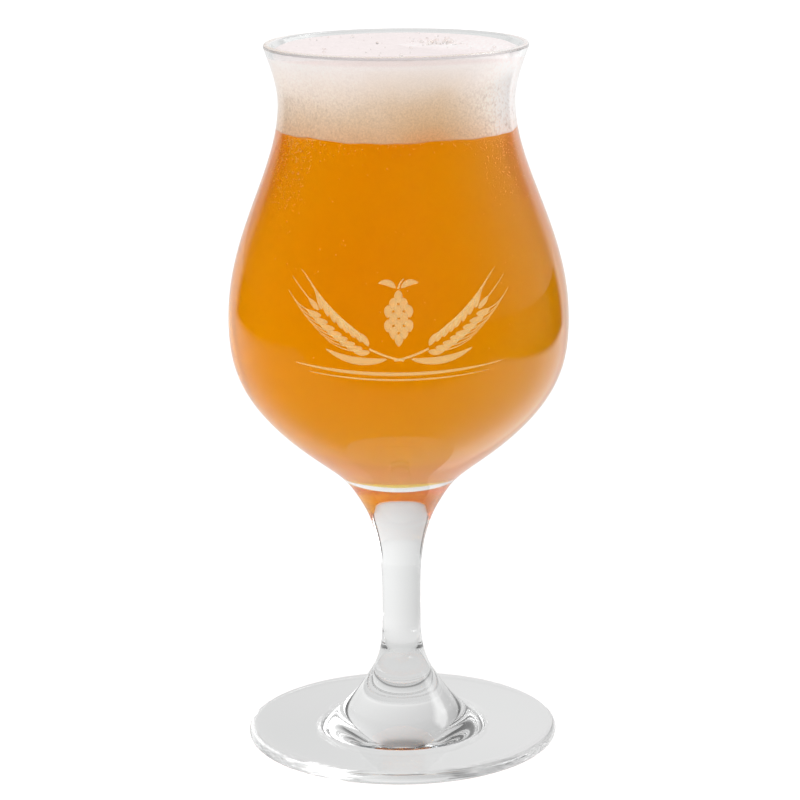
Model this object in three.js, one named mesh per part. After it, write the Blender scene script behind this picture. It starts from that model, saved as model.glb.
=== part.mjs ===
// A stemmed beer glass: a thin tulip bowl with a turned-out lip, a solid drawn stem and a round foot.
// Millimetres, +Z up. The glass stands on z = 0 and its axis is Z.
import * as THREE from "three";

// Heights, stacked from the table up
const footHeight = 16.5;
const stemLength = 47.5;
const baseHeight = 13.3;
const bellyRise = 36.2;
const shoulderRise = 56.5;
const lipHeight = 15;

// Outer radii, from the table up
const footRadius = 41.1;
const plateRadius = 23.3;
const footJointRadius = 8.85;
const waistRadius = 5.05;
const bowlJointRadius = 10.15;
const flareRadius = 23;
const bellyRadius = 44.2;
const neckRadius = 30.35;
const rimRadius = 33.85;

// Glass thicknesses
const footEdgeThickness = 2.7;
const plateThickness = 3.1;
const footHollowDepth = 0.6;
const restRingWidth = 4.5;
const wallThickness = 1.6;
const rimThickness = 1.5;
const floorThickness = 8.5;

// Leans of the wall from the vertical, in degrees, going up; outward is positive
const footTopLean = -87;
const plateLean = -89;
const footFlareLean = -77;
const footJointLean = -34;
const bowlJointLean = 30.5;
const flareLean = 53;
const rimLean = 18.5;

// How far each curve keeps the lean of its two ends, as shares of its chord: lower end, upper end
const plateShares = [0.33, 0.33];
const footRiseShares = [0.38, 0.2];
const stemFootShares = [0.33, 0.46];
const stemTopShares = [0.3, 0.36];
const baseShares = [0.44, 0.5];
const bellyShares = [0.57, 0.28];
const shoulderShares = [0.4, 0.3];
const lipShares = [0.36, 0.2];
const floorShares = [0.24, 0.41];
const hollowShares = [0.33, 0.33];

// The waist of the stem, as a share of the stem's length up from the foot
const waistShare = 0.39;

// Straight facets that each curve is drawn with, and the facets round the glass
const facetsRound = 64;
const rimSteps = 6;
const lipSteps = 6;
const shoulderSteps = 11;
const bellySteps = 8;
const baseSteps = 5;
const floorSteps = 13;
const stemTopSteps = 8;
const stemFootSteps = 6;
const footRiseSteps = 9;
const plateSteps = 3;
const footEdgeSteps = 6;
const hollowSteps = 3;

// Heights above the table that the stack gives
const bowlJointHeight = footHeight + stemLength;
const flareHeight = bowlJointHeight + baseHeight;
const bellyHeight = flareHeight + bellyRise;
const neckHeight = bellyHeight + shoulderRise;
const glassHeight = neckHeight + lipHeight;
const waistHeight = footHeight + stemLength * waistShare;
const floorHeight = bowlJointHeight + floorThickness;

// A place on an outline, and the direction in which the outline leaves it going up
function station(radius, height, lean = 0) {
  const angle = THREE.MathUtils.degToRad(lean);
  return {
    place: new THREE.Vector2(radius, height),
    up: new THREE.Vector2(Math.sin(angle), Math.cos(angle)),
  };
}

// The smooth curve from a lower station to a higher one
function rise(lower, upper, easeShares) {
  const chord = lower.place.distanceTo(upper.place);
  const leave = lower.place.clone().addScaledVector(lower.up, easeShares[0] * chord);
  const arrive = upper.place.clone().addScaledVector(upper.up, -easeShares[1] * chord);
  return new THREE.CubicBezierCurve(lower.place, leave, arrive, upper.place);
}

// The points of one curve, without its first, which the outline already has
const onward = (curve, steps) => curve.getPoints(steps).slice(1);

// The same going down a curve that rises
const backward = (curve, steps) => curve.getPoints(steps).reverse().slice(1);

// An arc from one angle to another, anticlockwise, in radians
function arc(centre, radius, startAngle, endAngle) {
  return new THREE.EllipseCurve(centre.x, centre.y, radius, radius, startAngle, endAngle);
}

// The outer outline's stations; where the flat plate ends, the foot rises with a crease
const plateEnd = station(plateRadius, plateThickness, plateLean);
const footFlare = station(plateRadius, plateThickness, footFlareLean);
const footJoint = station(footJointRadius, footHeight, footJointLean);
const waist = station(waistRadius, waistHeight);
const bowlJoint = station(bowlJointRadius, bowlJointHeight, bowlJointLean);
const flare = station(flareRadius, flareHeight, flareLean);
const belly = station(bellyRadius, bellyHeight);
const neck = station(neckRadius, neckHeight);

// The lip ends in a half round, square to the wall
const rimRound = rimThickness / 2;
const rimCentre = new THREE.Vector2(rimRadius - rimRound, glassHeight - rimRound);
const rimAngle = THREE.MathUtils.degToRad(rimLean);
const acrossRim = new THREE.Vector2(Math.cos(rimAngle), -Math.sin(rimAngle)).multiplyScalar(rimRound);
const rimOuter = station(rimCentre.x + acrossRim.x, rimCentre.y + acrossRim.y, rimLean);
const rimInner = station(rimCentre.x - acrossRim.x, rimCentre.y - acrossRim.y, rimLean);

// The inside of the bowl, one wall in from the outside, with a round floor over a thick base
const innerNeck = station(neckRadius - wallThickness, neckHeight);
const innerBelly = station(bellyRadius - wallThickness, bellyHeight);
const floor = station(0, floorHeight, 90);

// Turns an outline of radius and height round the glass's axis
function turned(name, outline, material) {
  const geometry = new THREE.LatheGeometry(outline, facetsRound);
  geometry.rotateX(Math.PI / 2);
  const mesh = new THREE.Mesh(geometry, material);
  mesh.name = name;
  return mesh;
}

function clearGlass(color) {
  return new THREE.MeshStandardMaterial({
    color,
    roughness: 0.03,
    metalness: 0,
    transparent: true,
    opacity: 0.4,
    side: THREE.DoubleSide,
  });
}

// The bowl: up the outside, over the lip and down the inside
function makeBowl() {
  const outline = [
    new THREE.Vector2(0, bowlJointHeight),
    bowlJoint.place,
    ...onward(rise(bowlJoint, flare, baseShares), baseSteps),
    ...onward(rise(flare, belly, bellyShares), bellySteps),
    ...onward(rise(belly, neck, shoulderShares), shoulderSteps),
    ...onward(rise(neck, rimOuter, lipShares), lipSteps),
    ...onward(arc(rimCentre, rimRound, -rimAngle, Math.PI - rimAngle), rimSteps),
    ...backward(rise(innerNeck, rimInner, lipShares), lipSteps),
    ...backward(rise(innerBelly, innerNeck, shoulderShares), shoulderSteps),
    ...backward(rise(floor, innerBelly, floorShares), floorSteps),
  ];
  return turned("bowl", outline, clearGlass(0xeef2f2));
}

// The stem: a solid rod, drawn in to a waist low down and opening into the bowl
function makeStem() {
  const outline = [
    new THREE.Vector2(0, footHeight),
    footJoint.place,
    ...onward(rise(footJoint, waist, stemFootShares), stemFootSteps),
    ...onward(rise(waist, bowlJoint, stemTopShares), stemTopSteps),
    new THREE.Vector2(0, bowlJointHeight),
  ];
  return turned("stem", outline, clearGlass(0xe9eded));
}

// The foot: a flat round plate that rests on a ring, hollowed beneath, with a bell up to the stem
function makeFoot() {
  const edgeRound = footEdgeThickness / 2;
  const edgeCentre = new THREE.Vector2(footRadius - edgeRound, edgeRound);
  const edgeTopAngle = -THREE.MathUtils.degToRad(footTopLean);
  const restOuterRadius = footRadius - edgeRound;
  const hollowTop = station(0, footHollowDepth, -90);
  const hollowLean = -THREE.MathUtils.radToDeg(Math.atan2(restOuterRadius, footHollowDepth));
  const hollowRim = station(restOuterRadius - restRingWidth, 0, hollowLean);
  const edge = arc(edgeCentre, edgeRound, -Math.PI / 2, edgeTopAngle).getPoints(footEdgeSteps);
  const edgeTop = edge[footEdgeSteps];
  const outline = [
    hollowTop.place,
    ...backward(rise(hollowRim, hollowTop, hollowShares), hollowSteps),
    ...edge,
    ...onward(rise(station(edgeTop.x, edgeTop.y, footTopLean), plateEnd, plateShares), plateSteps),
    ...onward(rise(footFlare, footJoint, footRiseShares), footRiseSteps),
    new THREE.Vector2(0, footHeight),
  ];
  return turned("foot", outline, clearGlass(0xe6eaea));
}

const glass = new THREE.Group();
glass.add(makeBowl(), makeStem(), makeFoot());

export default glass;
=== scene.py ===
# A stemmed glass of amber beer with a head of foam, seen a little from above.
# Lengths are written in millimetres and turned into metres where meshes and objects are made.
import math

import bpy
import numpy as np
from mathutils import Matrix


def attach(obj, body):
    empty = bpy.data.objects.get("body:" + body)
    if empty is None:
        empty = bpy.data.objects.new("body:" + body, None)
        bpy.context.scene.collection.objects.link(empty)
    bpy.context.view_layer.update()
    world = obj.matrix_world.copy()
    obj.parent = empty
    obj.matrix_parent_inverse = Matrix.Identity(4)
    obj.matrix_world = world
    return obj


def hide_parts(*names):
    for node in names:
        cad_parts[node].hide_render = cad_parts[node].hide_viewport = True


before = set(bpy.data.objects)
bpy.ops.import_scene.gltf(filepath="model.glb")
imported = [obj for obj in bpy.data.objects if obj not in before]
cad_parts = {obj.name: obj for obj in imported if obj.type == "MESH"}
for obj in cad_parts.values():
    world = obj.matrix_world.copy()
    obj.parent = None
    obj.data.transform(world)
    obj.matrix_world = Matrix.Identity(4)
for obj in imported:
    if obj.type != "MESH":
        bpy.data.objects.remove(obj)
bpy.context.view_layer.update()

MM = 0.001

# Heights, stacked from the table up
FOOT_HEIGHT = 16.5
STEM_LENGTH = 47.5
BASE_HEIGHT = 13.3
BELLY_RISE = 36.2
SHOULDER_RISE = 56.5
LIP_HEIGHT = 15.0

# Outer radii, from the table up
FOOT_RADIUS = 41.1
PLATE_RADIUS = 23.3
FOOT_JOINT_RADIUS = 8.85
WAIST_RADIUS = 5.05
BOWL_JOINT_RADIUS = 10.15
FLARE_RADIUS = 23.0
BELLY_RADIUS = 44.2
NECK_RADIUS = 30.35
RIM_RADIUS = 33.85

# Glass thicknesses
FOOT_EDGE_THICKNESS = 2.7
PLATE_THICKNESS = 3.1
FOOT_HOLLOW_DEPTH = 0.6
REST_RING_WIDTH = 4.5
WALL_THICKNESS = 1.6
RIM_THICKNESS = 1.5
FLOOR_THICKNESS = 8.5

# Leans of the wall from the vertical, in degrees, going up; outward is positive
FOOT_TOP_LEAN = -87.0
PLATE_LEAN = -89.0
FOOT_FLARE_LEAN = -77.0
FOOT_JOINT_LEAN = -34.0
BOWL_JOINT_LEAN = 30.5
FLARE_LEAN = 53.0
RIM_LEAN = 18.5

# How far each curve keeps the lean of its two ends, as shares of its chord: lower end, upper end
PLATE_SHARES = (0.33, 0.33)
FOOT_RISE_SHARES = (0.38, 0.2)
STEM_FOOT_SHARES = (0.33, 0.46)
STEM_TOP_SHARES = (0.3, 0.36)
BASE_SHARES = (0.44, 0.5)
BELLY_SHARES = (0.57, 0.28)
SHOULDER_SHARES = (0.4, 0.3)
LIP_SHARES = (0.36, 0.2)
FLOOR_SHARES = (0.24, 0.41)
HOLLOW_SHARES = (0.33, 0.33)
WAIST_SHARE = 0.39

# Heights above the table that the stack gives
BOWL_JOINT_HEIGHT = FOOT_HEIGHT + STEM_LENGTH
FLARE_HEIGHT = BOWL_JOINT_HEIGHT + BASE_HEIGHT
BELLY_HEIGHT = FLARE_HEIGHT + BELLY_RISE
NECK_HEIGHT = BELLY_HEIGHT + SHOULDER_RISE
GLASS_HEIGHT = NECK_HEIGHT + LIP_HEIGHT
WAIST_HEIGHT = FOOT_HEIGHT + STEM_LENGTH * WAIST_SHARE
FLOOR_HEIGHT = BOWL_JOINT_HEIGHT + FLOOR_THICKNESS

# What the glass holds
BEER_LEVEL = 163.2
BEER_HIDDEN_RISE = 1.5
BEER_CLEARANCE = 0.015
FOAM_TOP = 184.2
FOAM_GRIP = 0.06
FOAM_GRAIN = 0.02
FOAM_TOP_GRAIN = 0.05
FOAM_TOP_WAVE = 0.25
FOAM_LINE_WAVE = 0.35

# The waves of the foam's lower line: how many go round, where they start and their shares
FOAM_LINE_WAVES = (
    (5, 1.0, 0.5),
    (11, 2.0, 0.3),
    (23, 0.0, 0.2),
)

# The foam top's broad swells and small ripples along X and Y: how long they are, where they start
FOAM_SWELL_LENGTHS = (3.1, 2.7)
FOAM_SWELL_STARTS = (1.3, 0.4)
FOAM_RIPPLE_LENGTHS = (1.3, 1.1)
FOAM_RIPPLE_STARTS = (0.0, 2.0)

# How high the ripples are beside the swells, and how near the top's edge both grow calm
FOAM_RIPPLE_SHARE = 0.5
FOAM_CALM_SHARE = 1 / 6

# How far the foam's top edge drops and how wide it rounds: in front, to both sides and behind
FOAM_EDGE_DROP = (0.15, 2.2, 0.8)
FOAM_EDGE_ROUND = (0.8, 3.6, 2.8)

# How sharply the values for the sides fade away from them, and where the foam's randomness starts
FOAM_SIDE_SHARPNESS = 3
FOAM_SEED = 7

# How fine the meshes are
OUTLINE_STEP = 0.7
FEWEST_STEPS = 4
ARC_STEPS = 10
FACETS_ROUND = 192
FOAM_STEP = 0.45
FOAM_FACETS_ROUND = 448
FOAM_EDGE_STEPS = 10
FOAM_UNDER_SHARES = np.linspace(0.05, 0.95, 12)
FOAM_MIDDLE_SHARE = 0.01


def station(radius, height, lean=0.0):
    """A place on an outline, and the direction in which the outline leaves it going up."""
    angle = math.radians(lean)
    return np.array([radius, height]), np.array([math.sin(angle), math.cos(angle)])


def rise(lower, upper, shares):
    """The smooth curve from a lower station to a higher one, in steps of about one length."""
    chord = np.linalg.norm(upper[0] - lower[0])
    leave = lower[0] + lower[1] * shares[0] * chord
    arrive = upper[0] - upper[1] * shares[1] * chord
    count = max(FEWEST_STEPS, math.ceil(chord / OUTLINE_STEP))
    t = np.linspace(0, 1, count + 1)[:, None]
    near, far = 1 - t, t
    return (
        near**3 * lower[0]
        + 3 * near**2 * far * leave
        + 3 * near * far**2 * arrive
        + far**3 * upper[0]
    )


def arc(centre, radius, start, end):
    """An arc about a centre, anticlockwise, from one angle to another in radians."""
    angles = np.linspace(start, end, ARC_STEPS + 1)[:, None]
    return centre + radius * np.hstack([np.cos(angles), np.sin(angles)])


# The outer outline's stations
PLATE_END = station(PLATE_RADIUS, PLATE_THICKNESS, PLATE_LEAN)
FOOT_FLARE = station(PLATE_RADIUS, PLATE_THICKNESS, FOOT_FLARE_LEAN)
FOOT_JOINT = station(FOOT_JOINT_RADIUS, FOOT_HEIGHT, FOOT_JOINT_LEAN)
WAIST = station(WAIST_RADIUS, WAIST_HEIGHT)
BOWL_JOINT = station(BOWL_JOINT_RADIUS, BOWL_JOINT_HEIGHT, BOWL_JOINT_LEAN)
FLARE = station(FLARE_RADIUS, FLARE_HEIGHT, FLARE_LEAN)
BELLY = station(BELLY_RADIUS, BELLY_HEIGHT)
NECK = station(NECK_RADIUS, NECK_HEIGHT)

# The lip ends in a half round, square to the wall
RIM_ROUND = RIM_THICKNESS / 2
RIM_ANGLE = math.radians(RIM_LEAN)
RIM_CENTRE = np.array([RIM_RADIUS - RIM_ROUND, GLASS_HEIGHT - RIM_ROUND])
ACROSS_RIM = np.array([math.cos(RIM_ANGLE), -math.sin(RIM_ANGLE)]) * RIM_ROUND
RIM_OUTER = station(*(RIM_CENTRE + ACROSS_RIM), RIM_LEAN)
RIM_INNER = station(*(RIM_CENTRE - ACROSS_RIM), RIM_LEAN)

# The inside of the bowl, one wall in from the outside
INNER_NECK = station(NECK_RADIUS - WALL_THICKNESS, NECK_HEIGHT)
INNER_BELLY = station(BELLY_RADIUS - WALL_THICKNESS, BELLY_HEIGHT)
FLOOR = station(0.0, FLOOR_HEIGHT, 90.0)


def outer_outline():
    """The outside, from the middle of the underside to the start of the lip's round."""
    edge_round = FOOT_EDGE_THICKNESS / 2
    ring_outer = FOOT_RADIUS - edge_round
    hollow_lean = -math.degrees(math.atan2(ring_outer, FOOT_HOLLOW_DEPTH))
    hollow_rim = station(ring_outer - REST_RING_WIDTH, 0.0, hollow_lean)
    hollow_top = station(0.0, FOOT_HOLLOW_DEPTH, -90.0)
    edge_end = -math.radians(FOOT_TOP_LEAN)
    edge = arc(np.array([ring_outer, edge_round]), edge_round, -math.pi / 2, edge_end)
    foot_top = station(*edge[-1], FOOT_TOP_LEAN)
    return np.vstack([
        rise(hollow_rim, hollow_top, HOLLOW_SHARES)[::-1],
        edge,
        rise(foot_top, PLATE_END, PLATE_SHARES)[1:],
        rise(FOOT_FLARE, FOOT_JOINT, FOOT_RISE_SHARES)[1:],
        rise(FOOT_JOINT, WAIST, STEM_FOOT_SHARES)[1:],
        rise(WAIST, BOWL_JOINT, STEM_TOP_SHARES)[1:],
        rise(BOWL_JOINT, FLARE, BASE_SHARES)[1:],
        rise(FLARE, BELLY, BELLY_SHARES)[1:],
        rise(BELLY, NECK, SHOULDER_SHARES)[1:],
        rise(NECK, RIM_OUTER, LIP_SHARES)[1:],
    ])


def inner_outline():
    """The inside, from the middle of the floor to the lip's round."""
    return np.vstack([
        rise(FLOOR, INNER_BELLY, FLOOR_SHARES),
        rise(INNER_BELLY, INNER_NECK, SHOULDER_SHARES)[1:],
        rise(INNER_NECK, RIM_INNER, LIP_SHARES)[1:],
    ])


def inner_radius(heights):
    """The inside's radius at these heights."""
    inside = inner_outline()
    return np.interp(heights, inside[:, 1], inside[:, 0])


def cut_at(outline, height):
    """The part of an outline up to a height, ended exactly there."""
    below = outline[outline[:, 1] < height]
    radius = np.interp(height, outline[:, 1], outline[:, 0])
    return np.vstack([below, [radius, height]])


def moved_in(outline, distance):
    """An outline moved by a distance to its left as it runs, which is inward going up."""
    along = np.gradient(outline, axis=0)
    along /= np.linalg.norm(along, axis=1)[:, None]
    left = np.stack([-along[:, 1], along[:, 0]], axis=1)
    out = outline + left * distance
    out[:, 0] = np.maximum(out[:, 0], 0.0)
    return out


def skin(name, radius, height, low_end, high_end):
    """A closed mesh from rows of points round the axis, shut at both ends on the axis."""
    rows, facets = radius.shape
    angles = np.linspace(0, 2 * math.pi, facets, endpoint=False)
    x = radius * np.cos(angles)
    y = radius * np.sin(angles)
    points = np.stack([x, y, height], axis=-1).reshape(-1, 3)
    points = np.vstack([points, [0, 0, low_end], [0, 0, high_end]]) * MM
    faces = []
    for i in range(rows - 1):
        for j in range(facets):
            k = (j + 1) % facets
            low, high = i * facets, (i + 1) * facets
            faces.append((low + j, low + k, high + k, high + j))
    first, last = rows * facets, rows * facets + 1
    top = (rows - 1) * facets
    for j in range(facets):
        k = (j + 1) % facets
        faces.append((first, k, j))
        faces.append((last, top + j, top + k))
    mesh = bpy.data.meshes.new(name)
    mesh.from_pydata(points.tolist(), [], faces)
    mesh.update()
    mesh.polygons.foreach_set("use_smooth", [True] * len(mesh.polygons))
    piece = bpy.data.objects.new(name, mesh)
    bpy.context.scene.collection.objects.link(piece)
    return piece


def turned(name, outline, facets):
    """A closed mesh from an outline whose first and last points lie on the axis."""
    around = np.ones(facets)
    radius = outline[1:-1, 0][:, None] * around
    height = outline[1:-1, 1][:, None] * around
    return skin(name, radius, height, outline[0, 1], outline[-1, 1])


def new_material(name):
    """A new node material, with its Principled shader."""
    material = bpy.data.materials.new(name)
    material.use_nodes = True
    return material, material.node_tree.nodes["Principled BSDF"]


def add_node(tree, kind, values=None, **settings):
    """A new node; each value is a number or colour, or the socket that feeds the input."""
    made = tree.nodes.new(kind)
    for key, value in settings.items():
        setattr(made, key, value)
    for key, value in (values or {}).items():
        if isinstance(value, bpy.types.NodeSocket):
            tree.links.new(value, made.inputs[key])
        else:
            made.inputs[key].default_value = value
    return made


def calculate(tree, operation, first, second=0.0):
    """What an operation makes of one or two numbers or sockets."""
    alone = ("ABSOLUTE", "SQRT", "ARCSINE", "DEGREES")
    values = {0: first} if operation in alone else {0: first, 1: second}
    return add_node(tree, "ShaderNodeMath", values, operation=operation).outputs[0]


def scaled(tree, colour, level):
    """A colour times a number."""
    values = {0: colour, "Scale": level}
    return add_node(tree, "ShaderNodeVectorMath", values, operation="SCALE").outputs["Vector"]


def blend_numbers(tree, share, none, whole):
    """A number between two others: the first at a share of nought, the second at one."""
    values = {"Factor": share, "A": none, "B": whole}
    return add_node(tree, "ShaderNodeMix", values, data_type="FLOAT").outputs["Result"]


def noise(tree, place, per_metre, detail=2.0):
    """Smooth noise between nought and one, with so many patches to the metre."""
    values = {"Vector": place, "Scale": per_metre, "Detail": detail}
    return add_node(tree, "ShaderNodeTexNoise", values).outputs["Fac"]


def colour_ramp(tree, value, stops):
    """The colour at a value, drawn through stops of value and colour."""
    first, last = stops[0][0], stops[-1][0]
    share = add_node(tree, "ShaderNodeMapRange", {
        "Value": value,
        "From Min": first,
        "From Max": last,
    })
    made = add_node(tree, "ShaderNodeValToRGB", {"Fac": share.outputs["Result"]})
    elements = made.color_ramp.elements
    for place, _ in stops[1:-1]:
        elements.new((place - first) / (last - first))
    for element, (place, colour) in zip(elements, stops):
        element.position = (place - first) / (last - first)
        element.color = (*colour, 1)
    return made.outputs["Color"]


def ramp(tree, value, stops):
    """The level at a value, drawn through stops of value and level."""
    peak = max(level for _, level in stops)
    colours = [(place, [level / peak] * 3) for place, level in stops]
    return calculate(tree, "MULTIPLY", colour_ramp(tree, value, colours), peak)


# How strongly the glass and the beer bend light
GLASS_IOR = 1.5
BEER_IOR = 1.34

# The glass's faint tint, wavering over this length
GLASS_WAVE = 30.0
GLASS_TINTS = (
    (0.3, (0.985, 0.995, 0.99)),
    (0.7, (1.0, 1.0, 1.0)),
)

# How much darker the fire-polished rim is painted at each azimuth in degrees, counted from the
# front: painted shade for the dark reflections and refractions it shows
RIM_PAINTED_SHADES = (
    (-180, (0.8, 0.81, 0.81)),
    (-120, (0.7, 0.71, 0.71)),
    (-97, (0.2, 0.21, 0.22)),
    (-60, (0.46, 0.47, 0.48)),
    (0, (0.64, 0.645, 0.65)),
    (45, (0.7, 0.71, 0.71)),
    (75, (0.3, 0.31, 0.32)),
    (97, (0.24, 0.25, 0.26)),
    (120, (0.7, 0.71, 0.71)),
    (180, (0.8, 0.81, 0.81)),
)
# How much of the rim's round, from its outer side, carries that painted shade
RIM_PAINTED_SHADE_SHARE = 0.2

# A painted dark patch in front where the foot rises out of the plate, standing in for the dark
# refraction there, and how far in it reaches
CREASE_PAINTED_SHADES = (
    (-180, (1.0, 1.0, 1.0)),
    (-34, (1.0, 1.0, 1.0)),
    (-28, (0.12, 0.13, 0.14)),
    (28, (0.12, 0.13, 0.14)),
    (34, (1.0, 1.0, 1.0)),
    (180, (1.0, 1.0, 1.0)),
)
CREASE_SHADE_WIDTH = 0.5


def from_front(tree, parts):
    """The azimuth in degrees round the glass, nought in front and positive to the right."""
    forward = calculate(tree, "MULTIPLY", parts["Y"], -1.0)
    azimuth = calculate(tree, "ARCTAN2", parts["X"], forward)
    return calculate(tree, "DEGREES", azimuth)


def wavering(tree, place, size, tints):
    """A colour that wavers between two tints over a size in millimetres."""
    return colour_ramp(tree, noise(tree, place, 1 / (size * MM), 1.0), tints)


def glass_material(name, ior, painted_shades_round=None):
    material, shader = new_material(name)
    tree = material.node_tree
    place = add_node(tree, "ShaderNodeTexCoord").outputs["Object"]
    # The rim and the crease take a painted shade by azimuth; the rest of the glass a faint random
    # tint
    if painted_shades_round:
        parts = add_node(tree, "ShaderNodeSeparateXYZ", {"Vector": place}).outputs
        tint_and_painted_shade = colour_ramp(tree, from_front(tree, parts), painted_shades_round)
    else:
        tint_and_painted_shade = wavering(tree, place, GLASS_WAVE, GLASS_TINTS)
    tree.links.new(tint_and_painted_shade, shader.inputs["Base Color"])
    shader.inputs["Roughness"].default_value = 0.0
    shader.inputs["IOR"].default_value = ior
    shader.inputs["Transmission Weight"].default_value = 1.0
    return material


# What the beer takes out of the light and what its haze scatters, per metre, and how far forward
BEER_TAKES = (0.3, 13.6, 180.0)
HAZE_DENSITY = 40.0
HAZE_FORWARD = 0.75

# The beer's faint tint, wavering over this length
BEER_WAVE = 16.0
BEER_TINTS = (
    (0.35, (1.0, 0.97, 0.93)),
    (0.65, (1.0, 1.0, 1.0)),
)


def beer_material():
    material, shader = new_material("amber_beer")
    tree = material.node_tree
    place = add_node(tree, "ShaderNodeTexCoord").outputs["Object"]
    tree.links.new(wavering(tree, place, BEER_WAVE, BEER_TINTS), shader.inputs["Base Color"])
    shader.inputs["Roughness"].default_value = 0.0
    shader.inputs["IOR"].default_value = 1.0
    shader.inputs["Transmission Weight"].default_value = 1.0
    density = max(BEER_TAKES)
    passes = [1 - taken / density for taken in BEER_TAKES]
    volume = add_node(tree, "ShaderNodeVolumeAbsorption", {
        "Color": (*passes, 1),
        "Density": density,
    })
    haze = add_node(tree, "ShaderNodeVolumeScatter", {
        "Color": (1, 1, 1, 1),
        "Density": HAZE_DENSITY,
        "Anisotropy": HAZE_FORWARD,
    })
    both = add_node(tree, "ShaderNodeAddShader", {0: volume.outputs[0], 1: haze.outputs[0]})
    tree.links.new(both.outputs[0], tree.nodes["Material Output"].inputs["Volume"])
    material.cycles.homogeneous_volume = True
    return material


# The foam's colours by depth below the rim, as far as the front of the glass shows them: partly
# its own cream and tan, partly painted shade and painted amber light from the beer below
FOAM_COLOURS_AND_SHADE = (
    (0.0, (0.93, 0.85, 0.845)),
    (2.0, (0.93, 0.85, 0.845)),
    (2.6, (0.965, 0.93, 0.92)),
    (4.5, (0.955, 0.905, 0.875)),
    (7.7, (0.925, 0.85, 0.78)),
    (11.8, (0.86, 0.735, 0.595)),
    (14.0, (0.83, 0.68, 0.51)),
    (18.0, (0.805, 0.615, 0.4)),
    (20.1, (0.805, 0.55, 0.31)),
    (22.0, (0.805, 0.47, 0.19)),
)
# How fast they change at each azimuth, in degrees from the front to the right: painted shade,
# fastest in front, and painted light, slowest on the right where the foam stays pale
FOAM_SHADE_SPEEDS = (
    (-180, 0.6),
    (-76, 0.6),
    (-38, 0.7),
    (-8, 0.85),
    (7, 1.0),
    (22, 1.0),
    (37, 0.72),
    (50, 0.42),
    (60, 0.15),
    (80, 0.05),
    (110, 0.05),
    (180, 0.6),
)
# Painted light: how much paler the foam is made at each azimuth, most on the right
FOAM_PAINTED_LIGHT = (
    (-180, 1.02),
    (-38, 1.03),
    (-8, 1.01),
    (22, 0.99),
    (37, 0.99),
    (50, 1.04),
    (60, 1.09),
    (72, 1.1),
    (180, 1.02),
)
FOAM_TOP_DEPTH = 2.0
FOAM_PALEST = (0.985, 0.985, 0.985)
FOAM_ROUGHNESS = 0.9
FOAM_SHINE = 0.15

# Blotches, how far they push the colours up or down, and how far below the top they start
FOAM_BLOTCH = 12.0
FOAM_BLOTCH_RISE = 3.0
FOAM_BLOTCH_START = 1.5

# Fine cells, coarse cells on the right, how much they darken, and how much of that by depth
FOAM_CELL = 0.42
FOAM_COARSE_CELL = 0.7
FOAM_COARSE_LEVEL = 0.4
FOAM_CONTRAST = 0.4
FOAM_COARSE_CONTRAST = 0.85
FOAM_GRAIN_SHARES = (
    (2.0, 0.3),
    (6.0, 0.4),
    (12.0, 1.0),
)


def foam_cells(tree, place, azimuth, depth):
    """How much lighter or darker the foam is where it has cells."""
    fine = noise(tree, place, 1 / (FOAM_CELL * MM), 1.0)
    cells = add_node(tree, "ShaderNodeTexVoronoi", {
        "Vector": place,
        "Scale": 1 / (FOAM_COARSE_CELL * MM),
    }, feature="SMOOTH_F1").outputs["Distance"]
    coarse = calculate(tree, "SUBTRACT", FOAM_COARSE_LEVEL, cells)
    coarse = calculate(tree, "MULTIPLY", coarse, FOAM_COARSE_CONTRAST)
    right = calculate(tree, "SUBTRACT", 1.0, ramp(tree, azimuth, FOAM_SHADE_SPEEDS))
    coarse = calculate(tree, "MULTIPLY", coarse, right)
    grain = calculate(tree, "SUBTRACT", fine, 0.5)
    grain = calculate(tree, "MULTIPLY", grain, FOAM_CONTRAST)
    grain = calculate(tree, "ADD", grain, coarse)
    return calculate(tree, "MULTIPLY", grain, ramp(tree, depth, FOAM_GRAIN_SHARES))


def foam_material():
    """White foam, cream and then tan lower down, with fine cells, painted shade in front and
    painted light on the right.
    """
    material, shader = new_material("beer_foam")
    tree = material.node_tree
    place = add_node(tree, "ShaderNodeTexCoord").outputs["Object"]
    parts = add_node(tree, "ShaderNodeSeparateXYZ", {"Vector": place}).outputs
    azimuth = from_front(tree, parts)
    height = calculate(tree, "DIVIDE", parts["Z"], MM)
    depth = calculate(tree, "SUBTRACT", GLASS_HEIGHT, height)
    blotch = noise(tree, place, 1 / (FOAM_BLOTCH * MM))
    blotch = calculate(tree, "SUBTRACT", blotch, 0.5)
    blotch = calculate(tree, "MULTIPLY", blotch, FOAM_BLOTCH_RISE * 2)
    below = calculate(tree, "SUBTRACT", depth, FOAM_TOP_DEPTH)
    on_side = calculate(tree, "GREATER_THAN", below, FOAM_BLOTCH_START)
    below = calculate(tree, "ADD", below, calculate(tree, "MULTIPLY", blotch, on_side))
    # Painted shade and light: the tan comes on fastest in front and slowest on the right
    below = calculate(tree, "MULTIPLY", below, ramp(tree, azimuth, FOAM_SHADE_SPEEDS))
    colour = colour_ramp(tree, calculate(tree, "ADD", below, FOAM_TOP_DEPTH), FOAM_COLOURS_AND_SHADE)
    grain = foam_cells(tree, place, azimuth, depth)
    # Painted light: the foam is made paler at some azimuths, most on the right
    grain = calculate(tree, "ADD", grain, ramp(tree, azimuth, FOAM_PAINTED_LIGHT))
    tint_and_painted_shade = scaled(tree, colour, grain)
    palest = {0: tint_and_painted_shade, 1: FOAM_PALEST}
    tint_and_painted_shade = add_node(tree, "ShaderNodeVectorMath", palest, operation="MINIMUM").outputs["Vector"]
    tree.links.new(tint_and_painted_shade, shader.inputs["Base Color"])
    shader.inputs["Roughness"].default_value = FOAM_ROUGHNESS
    shader.inputs["Specular IOR Level"].default_value = FOAM_SHINE
    return material


# The glass's materials, in the order of their slots
CLEAR, WETTED, RIM, CREASE = range(4)


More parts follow.
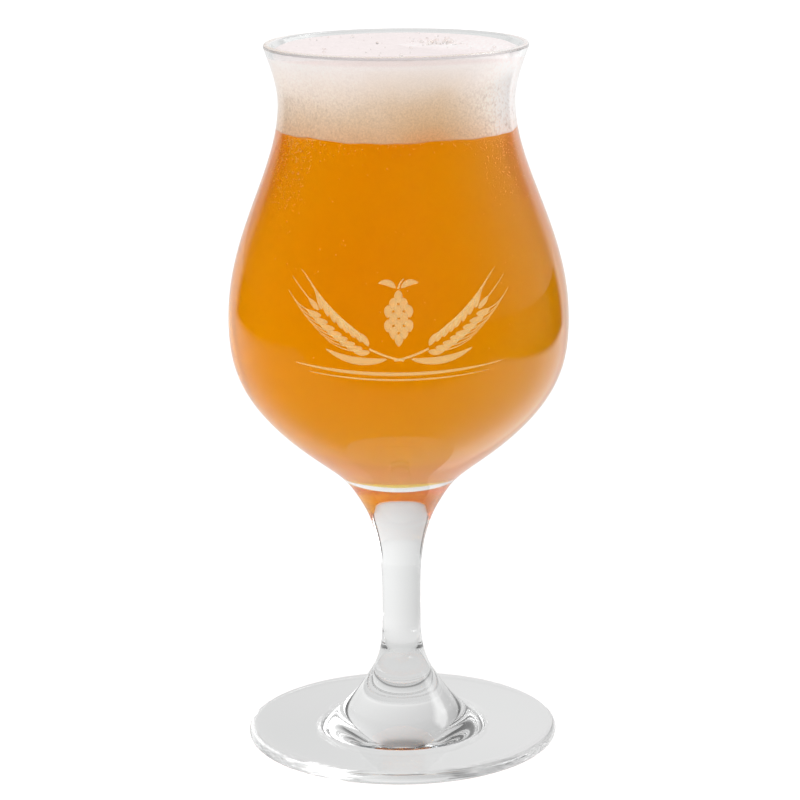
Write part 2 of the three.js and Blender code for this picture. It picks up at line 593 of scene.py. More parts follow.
def glass_slots(outline, rim_points):
    """The slot of each face: plain, wetted by the beer, on the rim or at the foot's crease, the
    last two with painted shade.
    """
    radii, heights = outline[1:-1].T
    row = np.arange(len(heights) - 1)
    slots = np.full(len(row), CLEAR)
    crease = (heights >= PLATE_THICKNESS) & (heights < FOOT_HEIGHT)
    crease &= (radii <= PLATE_RADIUS) & (radii > PLATE_RADIUS - CREASE_SHADE_WIDTH)
    slots[crease[:-1]] = CREASE
    rim_start = len(outer_outline()) - 2
    slots[(row >= rim_start) & (row < rim_start + RIM_PAINTED_SHADE_SHARE * rim_points)] = RIM
    under_beer = np.maximum(heights[:-1], heights[1:]) <= BEER_LEVEL + BEER_HIDDEN_RISE
    slots[(row >= rim_start + rim_points) & under_beer] = WETTED
    middles = np.tile((CLEAR, WETTED), FACETS_ROUND)
    return np.concatenate([np.repeat(slots, FACETS_ROUND), middles])


def make_glass():
    rim = arc(RIM_CENTRE, RIM_ROUND, -RIM_ANGLE, math.pi - RIM_ANGLE)
    inside = inner_outline()[::-1]
    outline = np.vstack([outer_outline(), rim[1:], inside[1:]])
    glass = turned("drinking_glass", outline, FACETS_ROUND)
    glass.data.materials.append(glass_material("clear_glass", GLASS_IOR))
    glass.data.materials.append(glass_material("wetted_glass", GLASS_IOR / BEER_IOR))
    # The rim's glass carries a painted shade by azimuth
    glass.data.materials.append(glass_material("rim_glass_painted_shade", GLASS_IOR, RIM_PAINTED_SHADES))
    # The foot's crease carries a painted dark patch in front, standing in for dark refraction
    glass.data.materials.append(glass_material("crease_glass_painted_shade", GLASS_IOR, CREASE_PAINTED_SHADES))
    glass.data.polygons.foreach_set("material_index", glass_slots(outline, len(rim)))
    return glass


def make_beer():
    outline = cut_at(inner_outline(), BEER_LEVEL + BEER_HIDDEN_RISE)
    outline = moved_in(outline, BEER_CLEARANCE)
    outline = np.vstack([outline, [0.0, outline[-1, 1]]])
    beer = turned("beer", outline, FACETS_ROUND)
    beer.data.materials.append(beer_material())
    return beer


def around_edge(angles, sizes):
    """A size round the foam's edge that goes from the front's to the sides' and the back's."""
    front, side, back = sizes
    to_side = np.abs(np.cos(angles)) ** FOAM_SIDE_SHARPNESS
    behind = (1 + np.sin(angles)) / 2
    return (front * (1 - behind) + back * behind) * (1 - to_side) + side * to_side


def crossing_waves(places, lengths, starts):
    """Waves along X times waves along Y."""
    along_x, along_y = (np.sin(places[i] / lengths[i] + starts[i]) for i in range(2))
    return along_x * along_y


def foam_top(flat, angles, chance):
    """The rows of the foam's top, from its rounded edge in toward the middle."""
    share = np.arange(1, FOAM_MIDDLE_SHARE, -FOAM_STEP / NECK_RADIUS)[1:, None]
    radius = flat * share
    places = (radius * np.cos(angles), radius * np.sin(angles))
    swell = crossing_waves(places, FOAM_SWELL_LENGTHS, FOAM_SWELL_STARTS)
    ripple = crossing_waves(places, FOAM_RIPPLE_LENGTHS, FOAM_RIPPLE_STARTS)
    swell = (swell + FOAM_RIPPLE_SHARE * ripple) * np.minimum(1, (1 - share) / FOAM_CALM_SHARE)
    grain = FOAM_TOP_GRAIN * share * chance.uniform(-1, 1, radius.shape)
    return radius, FOAM_TOP + FOAM_TOP_WAVE * swell + grain


def make_foam():
    chance = np.random.default_rng(FOAM_SEED)
    angles = np.linspace(0, 2 * math.pi, FOAM_FACETS_ROUND, endpoint=False)
    drop = around_edge(angles, FOAM_EDGE_DROP)
    edge_round = around_edge(angles, FOAM_EDGE_ROUND)
    wave = sum(share * np.sin(count * angles + start) for count, start, share in FOAM_LINE_WAVES)
    line = BEER_LEVEL + FOAM_LINE_WAVE * wave
    shoulder = FOAM_TOP - drop
    t = np.linspace(0, 1, math.ceil((FOAM_TOP - BEER_LEVEL) / FOAM_STEP))[:, None]
    side_height = line + t * (shoulder - line)
    side = inner_radius(side_height) + FOAM_GRIP
    side = side - FOAM_GRAIN * chance.uniform(0, 2, side.shape)
    turn = np.linspace(0, math.pi / 2, FOAM_EDGE_STEPS)[1:, None]
    flat = side[-1] - edge_round
    edge = flat + edge_round * np.cos(turn)
    edge_height = shoulder + drop * np.sin(turn)
    top, top_height = foam_top(flat, angles, chance)
    under = side[0] * FOAM_UNDER_SHARES[:, None]
    under_height = line + np.zeros_like(under)
    radius = np.vstack([under, side, edge, top])
    height = np.vstack([under_height, side_height, edge_height, top_height])
    foam = skin("foam_head", radius, height, BEER_LEVEL, FOAM_TOP)
    foam.data.materials.append(foam_material())
    return foam


def ball(centre, radius, rings, around):
    """A closed ball, as points and faces."""
    points = [centre + np.array([0, 0, -radius])]
    for i in range(1, rings):
        tilt = math.pi * i / rings
        for j in range(around):
            turn = 2 * math.pi * j / around
            out = radius * math.sin(tilt)
            step = np.array([out * math.cos(turn), out * math.sin(turn), -radius * math.cos(tilt)])
            points.append(centre + step)
    points.append(centre + np.array([0, 0, radius]))
    top = len(points) - 1
    faces = []
    for j in range(around):
        k = (j + 1) % around
        faces.append((0, 1 + k, 1 + j))
        last = 1 + (rings - 2) * around
        faces.append((top, last + j, last + k))
        for i in range(rings - 2):
            low = 1 + i * around
            high = low + around
            faces.append((low + j, low + k, high + k, high + j))
    return points, faces


def many(name, solids, material):
    """One piece made of many small closed solids."""
    points = []
    faces = []
    for solid_points, solid_faces in solids:
        start = len(points)
        points.extend(solid_points)
        faces.extend(tuple(start + corner for corner in face) for face in solid_faces)
    mesh = bpy.data.meshes.new(name)
    mesh.from_pydata((np.array(points) * MM).tolist(), [], faces)
    mesh.update()
    mesh.polygons.foreach_set("use_smooth", [True] * len(mesh.polygons))
    mesh.materials.append(material)
    piece = bpy.data.objects.new(name, mesh)
    bpy.context.scene.collection.objects.link(piece)
    return piece


# Bubbles on the foam: the patch they gather in, and how many lie there and elsewhere
PATCH_BUBBLES = 90
PATCH_PLACE = (11.0, 6.0)
PATCH_SPREAD = (3.5, 4.5)
LOOSE_BUBBLES = 45
FOAM_BUBBLE_REACH = 29.0

# Their least and greatest radius, how far small ones outnumber large ones, their rings and facets
FOAM_BUBBLE_RADII = (0.18, 0.55)
FOAM_BUBBLE_SMALLNESS = 2.5
FOAM_BUBBLE_FACETS = (6, 10)
FOAM_BUBBLE_COLOUR = (0.97, 0.95, 0.93)
FOAM_BUBBLE_SEED = 11
STANDING_OUT_SHARE = 0.3

# Bubbles in the beer to the neck's left and right: how far down they reach, how they crowd upward
NECK_BUBBLES = 1300
NECK_BUBBLE_REACH = 18.0
NECK_BUBBLE_CROWDING = 1.7
NECK_BUBBLE_TURNS = (0.75, 1.75)
RIGHT_NECK_BUBBLE_EVERY = 3

# Those scattered over the wall, up from just under the belly
WALL_BUBBLES = 500
WALL_BUBBLE_DROP = 4.0

# Those under the foam
LINE_BUBBLES = 500
LINE_BUBBLE_REACH = 3.0
LINE_BUBBLE_CROWDING = 2

# What all bubbles in the beer share, and what both kinds of bubble do
BEER_BUBBLE_RADII = (0.06, 0.19)
BEER_BUBBLE_FACETS = (4, 6)
BEER_BUBBLE_COLOUR = (1.0, 0.66, 0.22)
BEER_BUBBLE_SEED = 23
BUBBLE_GAP = 0.05
BUBBLE_IOR = 1.33
BUBBLE_ROUGHNESS = 0.1

# A bubble's shading: noise per metre, the darkest share and how much the noise adds to it
BUBBLE_NOISE = 600.0
BUBBLE_DARKEST_SHARE = 0.7
BUBBLE_NOISE_SHARE = 0.6


def bubble_material(name, colour, clear):
    material, shader = new_material(name)
    tree = material.node_tree
    place = add_node(tree, "ShaderNodeTexCoord").outputs["Object"]
    shade = calculate(tree, "MULTIPLY", noise(tree, place, BUBBLE_NOISE), BUBBLE_NOISE_SHARE)
    shade = calculate(tree, "ADD", shade, BUBBLE_DARKEST_SHARE)
    tree.links.new(scaled(tree, colour, shade), shader.inputs["Base Color"])
    shader.inputs["Roughness"].default_value = BUBBLE_ROUGHNESS
    shader.inputs["IOR"].default_value = BUBBLE_IOR
    shader.inputs["Transmission Weight"].default_value = clear
    return material


def make_foam_bubbles():
    chance = np.random.default_rng(FOAM_BUBBLE_SEED)
    solids = []
    for i in range(PATCH_BUBBLES + LOOSE_BUBBLES):
        if i < PATCH_BUBBLES:
            place = np.array(PATCH_PLACE) + chance.normal(size=2) * PATCH_SPREAD
        else:
            turn = chance.uniform(0, 2 * math.pi)
            out = FOAM_BUBBLE_REACH * math.sqrt(chance.uniform())
            place = out * np.array([math.cos(turn), math.sin(turn)])
        if np.linalg.norm(place) > FOAM_BUBBLE_REACH:
            continue
        low, high = FOAM_BUBBLE_RADII
        size = low + (high - low) * chance.uniform() ** FOAM_BUBBLE_SMALLNESS
        centre = np.array([*place, FOAM_TOP + size * STANDING_OUT_SHARE])
        solids.append(ball(centre, size, *FOAM_BUBBLE_FACETS))
    return many("foam_bubbles", solids, bubble_material("froth_bubble", FOAM_BUBBLE_COLOUR, 1.0))


def make_beer_bubbles():
    chance = np.random.default_rng(BEER_BUBBLE_SEED)
    solids = []
    for i in range(NECK_BUBBLES + WALL_BUBBLES + LINE_BUBBLES):
        if i < NECK_BUBBLES:
            side = 1 if i % RIGHT_NECK_BUBBLE_EVERY == 0 else -1
            turn = -math.pi / 2 + side * chance.uniform(*NECK_BUBBLE_TURNS)
            height = BEER_LEVEL - NECK_BUBBLE_REACH * chance.uniform() ** NECK_BUBBLE_CROWDING
        elif i < NECK_BUBBLES + WALL_BUBBLES:
            turn = chance.uniform(0, 2 * math.pi)
            height = chance.uniform(BELLY_HEIGHT - WALL_BUBBLE_DROP, BEER_LEVEL)
        else:
            turn = chance.uniform(0, 2 * math.pi)
            height = BEER_LEVEL - LINE_BUBBLE_REACH * chance.uniform() ** LINE_BUBBLE_CROWDING
        size = chance.uniform(*BEER_BUBBLE_RADII)
        out = inner_radius(height) - size - BUBBLE_GAP
        place = np.array([out * math.cos(turn), out * math.sin(turn), height])
        solids.append(ball(place, size, *BEER_BUBBLE_FACETS))
    return many("beer_bubbles", solids, bubble_material("beer_bubble", BEER_BUBBLE_COLOUR, 0.0))


# The etched ornament in front: a hop cone between two ears of barley over a double line
ORNAMENT_HEIGHT = 121.5
ORNAMENT_CLEARANCE = 0.012
ORNAMENT_DEPTH = 0.03

# An ear: its stalk's points, its pairs of grains and the sizes of these
STALK_START = (-1.2, -9.6)
STALK_BEND = (8.5, -7.8)
STALK_END = (20.0, 1.6)
STALK_WIDTH = 0.55
EAR_START_SHARE = 0.42
GRAIN_PAIRS = 8
GRAIN_LENGTH = 4.3
GRAIN_WIDTH = 1.5
GRAIN_LEAN = 24.0
GRAIN_OFFSET = 0.55
GRAIN_STAGGER = 0.45
GRAIN_BULGE = 1.8
TOP_GRAIN_GAP = 0.9
TOP_GRAIN_SHARE = 0.9
AWN_LENGTH = 7.5
AWN_LEAN_SHARE = 0.25
AWN_BEND_SHARE = 0.4
AWN_WIDTH = 0.3
LEAF_START = (3.0, -9.2)
LEAF_BEND = (11.0, -11.2)
LEAF_END = (18.5, -7.2)
LEAF_WIDTH = 1.9

# Points along the strokes
STALK_POINTS = 60
LEAF_POINTS = 24
GRAIN_POINTS = 12
TOP_AWN_POINTS = 8
SCALE_POINTS = 10
CONE_LEAF_POINTS = 14
LINE_POINTS = 90

# The hop cone: scales in each row from the top, and their sizes
CONE_ROWS = (1, 2, 3, 2, 3, 2, 1)
CONE_TOP = 7.6
CONE_ROW_DROP = 1.75
SCALE_LENGTH = 3.1
SCALE_WIDTH = 2.1
SCALE_SPACING = 2.45
SCALE_SPREAD = 1.12

# The cone's stalk and its leaves, from its crown across and up: where they start, bend and end
CROWN_RISE = 0.3
CONE_STALK_BEND = (0.1, 1.4)
CONE_STALK_END = (1.5, 2.4)
CONE_LEAF_START = (0.7, 0.2)
CONE_LEAF_BEND = (2.6, 2.2)
CONE_LEAF_END = (5.2, 1.3)
CONE_LEAF_SHARE = 0.8

# The double line: how far it reaches to each side, how low it lies and how much it sags
LINE_REACH = 27.5
LINE_WIDTH = 0.9
LINE_DROP = 11.4
LINE_SAG = 1.6
LINE_GAP = 1.5
LOWER_LINE_SHARE = 0.86

# The etched glass: its colour, the white frost painted amber-yellow for the beer's light shining
# through it, its frost's noise per metre and how much of the glass it covers
FROST_COLOUR_WITH_PAINTED_BEER_LIGHT = (1.0, 0.87, 0.45, 1)
FROST_NOISE = 900.0
FROST_LEAST_SHARE = 0.16
FROST_NOISE_SHARE = 0.16


def etched_material():
    """Glass that was roughened, so that it scatters a part of the light; its colour is painted
    amber light from the beer behind it.
    """
    material, shader = new_material("etched_glass")
    tree = material.node_tree
    place = add_node(tree, "ShaderNodeTexCoord").outputs["Object"]
    frost = noise(tree, place, FROST_NOISE, 3.0)
    cover = calculate(tree, "MULTIPLY", frost, FROST_NOISE_SHARE)
    cover = calculate(tree, "ADD", cover, FROST_LEAST_SHARE)
    # Painted light: the frost is coloured amber-yellow for the beer's light behind it
    shader.inputs["Base Color"].default_value = FROST_COLOUR_WITH_PAINTED_BEER_LIGHT
    shader.inputs["Roughness"].default_value = 1.0
    shader.inputs["Specular IOR Level"].default_value = 0.0
    tree.links.new(cover, shader.inputs["Alpha"])
    return material


def bend(start, middle, end, count):
    """Points along a curve that leaves its start toward the middle point and comes to its end."""
    t = np.linspace(0, 1, count)[:, None]
    start, middle, end = (np.array(place, float) for place in (start, middle, end))
    return (1 - t) ** 2 * start + 2 * t * (1 - t) * middle + t**2 * end


def stroke(line, widths):
    """A thin closed solid along a flat line, wrapped round the front of the bowl."""
    along = np.gradient(line, axis=0)
    along /= np.linalg.norm(along, axis=1)[:, None]
    across = np.stack([-along[:, 1], along[:, 0]], axis=1) * (np.array(widths) / 2)[:, None]
    outside = outer_outline()
    upper = outside[outside[:, 1] > WAIST_HEIGHT]
    points = []
    for depth in (ORNAMENT_CLEARANCE, ORNAMENT_CLEARANCE + ORNAMENT_DEPTH):
        for edge in (line - across, line + across):
            height = ORNAMENT_HEIGHT + edge[:, 1]
            radius = np.interp(height, upper[:, 1], upper[:, 0]) + depth
            turn = -math.pi / 2 + edge[:, 0] / BELLY_RADIUS
            points.append(np.stack([radius * np.cos(turn), radius * np.sin(turn), height], axis=1))
    count = len(line)
    inner_low, inner_high, outer_low, outer_high = (count * i for i in range(4))
    faces = []
    for i in range(count - 1):
        j = i + 1
        faces.append((inner_low + i, inner_high + i, inner_high + j, inner_low + j))
        faces.append((outer_low + i, outer_low + j, outer_high + j, outer_high + i))
        faces.append((inner_low + i, inner_low + j, outer_low + j, outer_low + i))
        faces.append((inner_high + i, outer_high + i, outer_high + j, inner_high + j))
    last = count - 1
    faces.append((inner_low, outer_low, outer_high, inner_high))
    faces.append((inner_low + last, inner_high + last, outer_high + last, outer_low + last))
    return [*np.vstack(points)], faces


# A tapered stroke's last width, and a pointed one's least width, lean to its start and fullness
TAPERED_SHARE = 0.45
POINTED_SHARE = 0.08
POINTED_LEAN = 0.85
POINTED_FULLNESS = 0.75


def even(count, width):
    """The widths of a stroke that stays as wide all along."""
    return np.full(count, width)


def tapering(count, width):
    """The widths of a stroke that thins toward its end."""
    return width * np.linspace(1, TAPERED_SHARE, count)


def pointed(count, width):
    """The widths of a stroke that is full in the middle and pointed at both ends."""
    t = np.linspace(0, 1, count)
    swell = np.sin(math.pi * t**POINTED_LEAN) ** POINTED_FULLNESS
    return width * (POINTED_SHARE + (1 - POINTED_SHARE) * swell)


def turned_by(way, degrees):
    """A flat direction turned anticlockwise."""
    angle = math.radians(degrees)
    turn = np.array([[math.cos(angle), -math.sin(angle)], [math.sin(angle), math.cos(angle)]])
    return turn @ way


def grain_lines(spot, along, hand):
    """One grain of an ear and its awn, leaning out to one hand."""
    base = spot + turned_by(along, 90 * hand) * GRAIN_OFFSET + along * GRAIN_STAGGER * hand
    out = turned_by(along, GRAIN_LEAN * hand)
    tip = base + out * GRAIN_LENGTH
    middle = base + turned_by(along, GRAIN_LEAN * GRAIN_BULGE * hand) * GRAIN_LENGTH / 2
    far = tip + turned_by(along, GRAIN_LEAN * AWN_LEAN_SHARE * hand) * AWN_LENGTH
    awn = bend(tip, tip + out * AWN_LENGTH * AWN_BEND_SHARE, far, GRAIN_POINTS)
    grain = bend(base, middle, tip, GRAIN_POINTS)
    return [
        (grain, pointed(GRAIN_POINTS, GRAIN_WIDTH)),
        (awn, tapering(GRAIN_POINTS, AWN_WIDTH)),
    ]


def ear_lines():
    """The right ear: a stalk, pairs of grains along it with their awns, and a leaf."""
    stalk = bend(STALK_START, STALK_BEND, STALK_END, STALK_POINTS)
    last = STALK_POINTS - 1
    first = round(EAR_START_SHARE * last)
    leaf = bend(LEAF_START, LEAF_BEND, LEAF_END, LEAF_POINTS)
    lines = [
        (stalk[:first + 1], even(first + 1, STALK_WIDTH)),
        (leaf, pointed(LEAF_POINTS, LEAF_WIDTH)),
    ]
    for i in range(GRAIN_PAIRS):
        spot = first + round((last - first) * i / (GRAIN_PAIRS - 1))
        along = stalk[min(spot + 1, last)] - stalk[spot - 1]
        along = along / np.linalg.norm(along)
        lines += grain_lines(stalk[spot], along, -1)
        lines += grain_lines(stalk[spot], along, 1)
    start = stalk[last] + along * TOP_GRAIN_GAP
    tip = start + along * GRAIN_LENGTH
    grain = np.linspace(start, tip, GRAIN_POINTS)
    awn = np.linspace(tip, tip + along * AWN_LENGTH, TOP_AWN_POINTS)
    lines.append((grain, pointed(GRAIN_POINTS, GRAIN_WIDTH * TOP_GRAIN_SHARE)))
    lines.append((awn, tapering(TOP_AWN_POINTS, AWN_WIDTH)))
    return lines


def cone_lines():
    """The hop cone: rows of scales that point down, under a stalk with two small leaves."""
    lines = []
    for row, count in enumerate(CONE_ROWS):
        for i in range(count):
            across = (i - (count - 1) / 2) * SCALE_SPACING
            top = np.array([across, CONE_TOP - row * CONE_ROW_DROP])
            tip = np.array([across * SCALE_SPREAD, top[1] - SCALE_LENGTH])
            scale = np.linspace(top, tip, SCALE_POINTS)
            lines.append((scale, pointed(SCALE_POINTS, SCALE_WIDTH)))
    crown = np.array([0.0, CONE_TOP + CROWN_RISE])
    stalk = bend(crown, crown + CONE_STALK_BEND, crown + CONE_STALK_END, SCALE_POINTS)
    lines.append((stalk, tapering(SCALE_POINTS, STALK_WIDTH)))
    places = np.array([CONE_LEAF_START, CONE_LEAF_BEND, CONE_LEAF_END])
    for side in (-1, 1):
        leaf = bend(*(crown + places * (side, 1)), CONE_LEAF_POINTS)
        lines.append((leaf, pointed(CONE_LEAF_POINTS, LEAF_WIDTH * CONE_LEAF_SHARE)))
    return lines


def make_ornament():
    """The ornament, drawn flat across and up from its origin and then wrapped round the bowl."""
    lines = cone_lines()
    for line, widths in ear_lines():
        lines.append((line, widths))
        lines.append((line * (-1, 1), widths))
    reach = np.linspace(-LINE_REACH, LINE_REACH, LINE_POINTS)
    both = ((0.0, LINE_WIDTH, 1.0), (LINE_GAP, LINE_WIDTH / 2, LOWER_LINE_SHARE))
    for gap, width, share in both:
        across = reach * share
        sag = LINE_SAG * (1 - (across / LINE_REACH) ** 2)
        line = np.stack([across, -LINE_DROP - gap - sag], axis=1)
        lines.append((line, pointed(LINE_POINTS, width)))
    solids = [stroke(line, widths) for line, widths in lines]
    return many("etched_ornament", solids, etched_material())


glass = make_glass()
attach(glass, "root")
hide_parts("bowl", "stem", "foot")
beer = make_beer()
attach(beer, "root")
foam = make_foam()
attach(foam, "root")
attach(make_foam_bubbles(), "root")
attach(make_beer_bubbles(), "root")
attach(make_ornament(), "root")

# The photograph's camera: where it stands, how far it looks down and how it is tilted
CAMERA_SIDE = 0.133
CAMERA_DISTANCE = 714.0
CAMERA_HEIGHT = 262.7
CAMERA_DOWN = 13.488
CAMERA_ROLL = -0.574
PICTURE_SIZE = 800
FOCAL_PIXELS = 2805.3
SENSOR_WIDTH = 36.0
NEAREST_SEEN = 10.0
FARTHEST_SEEN = 100000.0


def make_camera():
    data = bpy.data.cameras.new("camera")
    data.sensor_width = SENSOR_WIDTH
    data.lens = FOCAL_PIXELS / PICTURE_SIZE * SENSOR_WIDTH
    data.clip_start = NEAREST_SEEN * MM
    data.clip_end = FARTHEST_SEEN * MM
    camera = bpy.data.objects.new("camera", data)
    bpy.context.scene.collection.objects.link(camera)
    place = Matrix.Translation((CAMERA_SIDE * MM, -CAMERA_DISTANCE * MM, CAMERA_HEIGHT * MM))
    tilt = Matrix.Rotation(math.radians(90 - CAMERA_DOWN), 4, "X")
    roll = Matrix.Rotation(math.radians(CAMERA_ROLL), 4, "Z")
    camera.matrix_world = place @ tilt @ roll
    bpy.context.scene.camera = camera


# The studio: white in the picture itself, a pale table and room to the rays that meet the glass
FLOOR_SIZE = 12000.0
FLOOR_GAP = 0.02
FLOOR_PAINT = (0.5, 0.5, 0.5, 1)
FLOOR_OWN_LIGHT = 0.62
SOFT_LIGHT = 1.0

# The table's top: its edges in front, to the left and to the right, and how soft they are
TABLE_FRONT = -190.0
TABLE_LEFT = -525.0
TABLE_RIGHT = 375.0
TABLE_EDGE_BLUR = 80.0
TABLE_LEFT_BLUR = 220.0

# How bright the reflected table is: azimuths in degrees from straight behind, and levels
TABLE_LEVELS = (
    (-180, 0.21),
    (-103, 0.23),
    (-90, 0.27),
    (-75, 0.48),
    (-57, 0.76),
    (-30, 0.85),
    (0, 0.85),
    (32, 1.0),
    (40, 1.5),
    (65, 1.4),
    (75, 1.15),
    (98, 0.82),
    (120, 0.56),
    (132, 0.4),
    (150, 0.28),
    (180, 0.21),
)
SWEEP_LEVELS = (
    (-180, 0.0),
    (-46, 0.0),
    (-38, 1.0),
    (36, 1.0),
    (44, 0.0),
    (180, 0.0),
)

# The same for the room above the table, and for the lamps in it by their height in degrees
ROOM_LEVELS = (
    (-180, 0.0),
    (-58, 0.01),
    (-46, 0.06),
    (-38, 0.5),
    (0, 0.85),
    (36, 1.0),
    (46, 0.36),
    (62, 0.33),
    (78, 0.2),
    (100, 0.07),
    (130, 0.02),
    (180, 0.0),
)
LAMP_AZIMUTHS = (
    (-180, 0.0),
    (62, 0.0),
    (68, 1.0),
    (82, 1.0),
    (96, 0.0),
    (180, 0.0),
)
LAMP_HEIGHTS = (
    (-90, 0.0),
    (20, 0.0),
    (34, 1.0),
    (52, 1.0),
    (58, 0.0),
    (90, 0.0),
)
LAMP_LEVEL = 5.0

# How bright the table is through the glass, by its distance from the glass's axis
THROUGH_TABLE = (
    (0, 0.72),
    (41, 0.72),
    (48, 0.79),
    (90, 0.63),
    (250, 0.67),
    (450, 0.66),
    (1000, 0.64),
    (2000, 0.61),
)
# The same for the room, by height in degrees
THROUGH_ROOM = (
    (-90, 0.8),
    (0, 0.8),
    (6, 0.76),
    (18, 0.72),
    (30, 0.68),
    (36, 0.6),
    (41, 0.38),
    (45, 0.3),
    (58, 0.32),
    (66, 0.8),
    (90, 1.0),
)
# And how much of it is left at each azimuth
ROUND_ROOM = (
    (-180, 0.8),
    (-158, 0.8),
    (-148, 0.2),
    (-112, 0.2),
    (-85, 0.4),
    (-60, 0.9),
    (-57, 0.1),
    (-51, 0.1),
    (-48, 1.0),
    (46, 1.0),
    (49, 0.1),
    (55, 0.1),
    (58, 3.3),
    (92, 3.3),
    (110, 1.0),
    (130, 0.3),
    (148, 0.2),
    (158, 0.8),
    (180, 0.8),
)
# How far the table takes after the room in that, by its distance
ROOM_SHARES = (
    (0, 0.0),
    (300, 0.0),
    (600, 1.0),
    (2000, 1.0),
)

# How much is left in front of the table's edge
BEYOND_TABLE = 0.25

# How much brighter it is to the right than to the left, and behind than in front, by its distance
TABLE_RIGHT_LEANS = (
    (0, 0.05),
    (44, 0.05),
    (80, 0.32),
    (2000, 0.32),
)
TABLE_BACK_LEANS = (
    (0, 0.0),
    (48, 0.0),
    (90, 0.32),
    (2000, 0.32),
)

# How much brighter the room is to the right than straight behind
ROOM_LEAN = 0.35


def ways(tree, vector):
    """The parts of a vector's direction, its azimuth and its height, both in degrees."""
    unit = add_node(tree, "ShaderNodeVectorMath", {0: vector}, operation="NORMALIZE")
    parts = add_node(tree, "ShaderNodeSeparateXYZ", {"Vector": unit.outputs["Vector"]}).outputs
    azimuth = calculate(tree, "ARCTAN2", parts["X"], parts["Y"])
    height = calculate(tree, "ARCSINE", parts["Z"])
    azimuth = calculate(tree, "DEGREES", azimuth)
    height = calculate(tree, "DEGREES", height)
    return parts, azimuth, height


def leaning(tree, across, level, lean):
    """A level that rises along one direction, by a share to each side."""
    lean = calculate(tree, "MULTIPLY", across, lean)
    lean = calculate(tree, "ADD", lean, 1.0)
    return calculate(tree, "MULTIPLY", lean, level)


def soft_step(tree, value, low, high):
    """From nought to one between two places, smoothly."""
    made = add_node(tree, "ShaderNodeMapRange", {
        "Value": value,
        "From Min": low * MM,
        "From Max": high * MM,
    }, interpolation_type="SMOOTHSTEP")
    return made.outputs["Result"]


def level_for_rays(tree, rays, mirrored, through):
    """One level for each kind of ray; whatever scatters light is lit softly from all around."""
    level = blend_numbers(tree, rays["Is Glossy Ray"], SOFT_LIGHT, mirrored)
    level = blend_numbers(tree, rays["Is Transmission Ray"], level, through)
    scattered = calculate(tree, "MINIMUM", rays["Diffuse Depth"], 1.0)
    return blend_numbers(tree, scattered, level, SOFT_LIGHT)


def reflected_table(tree, place, azimuth):
    """The table's top as the glass reflects it, dark beyond its edges."""
    parts = add_node(tree, "ShaderNodeSeparateXYZ", {"Vector": place}).outputs
    blur = TABLE_EDGE_BLUR / 2
    front = soft_step(tree, parts["Y"], TABLE_FRONT - blur, TABLE_FRONT + blur)
    left_blur = TABLE_LEFT_BLUR / 2
    left = soft_step(tree, parts["X"], TABLE_LEFT - left_blur, TABLE_LEFT + left_blur)
    right = soft_step(tree, parts["X"], TABLE_RIGHT + blur, TABLE_RIGHT - blur)
    inside = calculate(tree, "MULTIPLY", left, right)
    inside = calculate(tree, "MAXIMUM", inside, ramp(tree, azimuth, SWEEP_LEVELS))
    inside = calculate(tree, "MULTIPLY", inside, front)
    return calculate(tree, "MULTIPLY", inside, ramp(tree, azimuth, TABLE_LEVELS))


def table_through_glass(tree, place, parts, azimuth):
    """The table's top as it is seen through the glass, with the room over it farther off."""
    distance = add_node(tree, "ShaderNodeVectorMath", {0: place}, operation="LENGTH")
    distance = calculate(tree, "DIVIDE", distance.outputs["Value"], MM)
    level = ramp(tree, distance, THROUGH_TABLE)
    level = leaning(tree, parts["X"], level, ramp(tree, distance, TABLE_RIGHT_LEANS))
    level = leaning(tree, parts["Y"], level, ramp(tree, distance, TABLE_BACK_LEANS))
    room_share = ramp(tree, distance, ROOM_SHARES)
    round_level = blend_numbers(tree, room_share, 1.0, ramp(tree, azimuth, ROUND_ROOM))
    level = calculate(tree, "MULTIPLY", level, round_level)
    back = add_node(tree, "ShaderNodeSeparateXYZ", {"Vector": place}).outputs["Y"]
    on_table = soft_step(tree, back, TABLE_FRONT - TABLE_EDGE_BLUR, TABLE_FRONT + TABLE_EDGE_BLUR)
    on_table = blend_numbers(tree, on_table, BEYOND_TABLE, 1.0)
    return calculate(tree, "MULTIPLY", level, on_table)


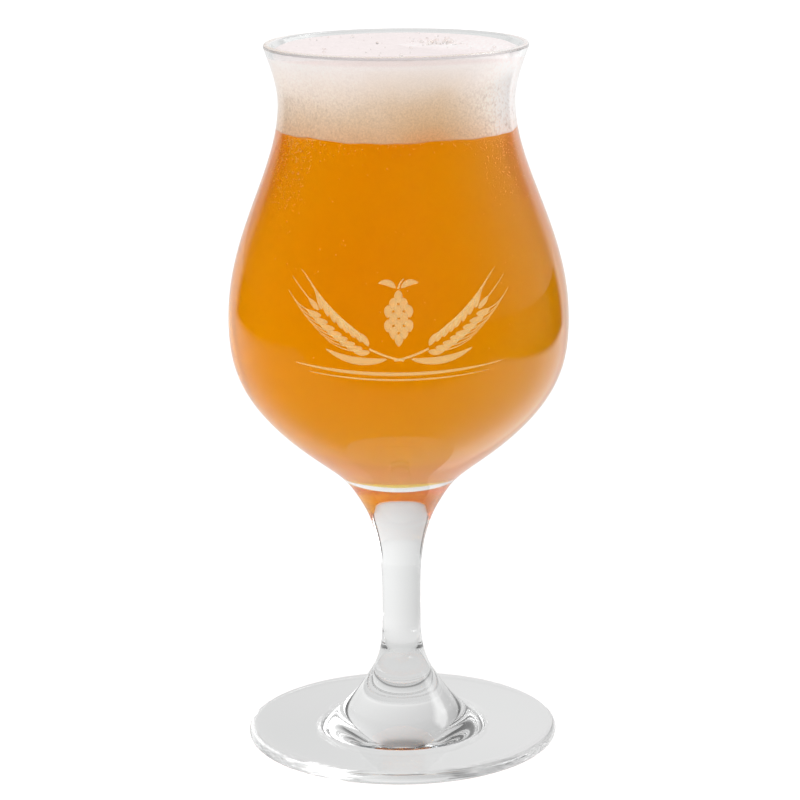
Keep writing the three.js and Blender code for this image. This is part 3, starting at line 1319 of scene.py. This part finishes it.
def make_floor():
    half = FLOOR_SIZE / 2 * MM
    below = -FLOOR_GAP * MM
    corners = [(x * half, y * half, below) for x, y in ((-1, -1), (1, -1), (1, 1), (-1, 1))]
    mesh = bpy.data.meshes.new("floor")
    mesh.from_pydata(corners, [], [(0, 1, 2, 3)])
    floor = bpy.data.objects.new("floor", mesh)
    bpy.context.scene.collection.objects.link(floor)
    material, shader = new_material("pale_floor")
    tree = material.node_tree
    shader.inputs["Base Color"].default_value = FLOOR_PAINT
    shader.inputs["Roughness"].default_value = 1.0
    rays = add_node(tree, "ShaderNodeLightPath")
    place = add_node(tree, "ShaderNodeNewGeometry").outputs["Position"]
    parts, azimuth, _ = ways(tree, place)
    through = table_through_glass(tree, place, parts, azimuth)
    mirrored = reflected_table(tree, place, azimuth)
    level = level_for_rays(tree, rays.outputs, mirrored, through)
    unseen = add_node(tree, "ShaderNodeEmission", {"Strength": level})
    own = add_node(tree, "ShaderNodeEmission", {"Strength": FLOOR_OWN_LIGHT})
    seen = add_node(tree, "ShaderNodeAddShader", {0: shader.outputs["BSDF"], 1: own.outputs[0]})
    pick = add_node(tree, "ShaderNodeMixShader", {
        "Fac": rays.outputs["Is Camera Ray"],
        1: unseen.outputs[0],
        2: seen.outputs[0],
    })
    tree.links.new(pick.outputs[0], tree.nodes["Material Output"].inputs["Surface"])
    material.cycles.emission_sampling = "NONE"
    mesh.materials.append(material)


def make_world():
    world = bpy.data.worlds.new("studio")
    bpy.context.scene.world = world
    world.use_nodes = True
    tree = world.node_tree
    rays = add_node(tree, "ShaderNodeLightPath")
    way = add_node(tree, "ShaderNodeTexCoord").outputs["Generated"]
    parts, azimuth, height = ways(tree, way)
    lamp = calculate(tree, "MULTIPLY", ramp(tree, azimuth, LAMP_AZIMUTHS), LAMP_LEVEL)
    lamp = calculate(tree, "MULTIPLY", lamp, ramp(tree, height, LAMP_HEIGHTS))
    mirrored = calculate(tree, "ADD", ramp(tree, azimuth, ROOM_LEVELS), lamp)
    through = leaning(tree, parts["X"], ramp(tree, height, THROUGH_ROOM), ROOM_LEAN)
    through = calculate(tree, "MULTIPLY", through, ramp(tree, azimuth, ROUND_ROOM))
    through = calculate(tree, "ADD", through, lamp)
    level = level_for_rays(tree, rays.outputs, mirrored, through)
    background = tree.nodes["Background"]
    background.inputs["Color"].default_value = (1, 1, 1, 1)
    tree.links.new(level, background.inputs["Strength"])


make_camera()
make_floor()
make_world()

scene = bpy.context.scene
scene.view_settings.view_transform = "Standard"
scene.cycles.max_bounces = 64
scene.cycles.transmission_bounces = 64
scene.cycles.glossy_bounces = 64
scene.cycles.transparent_max_bounces = 16
scene.cycles.volume_bounces = 16
scene.cycles.diffuse_bounces = 12
scene.cycles.blur_glossy = 0.0
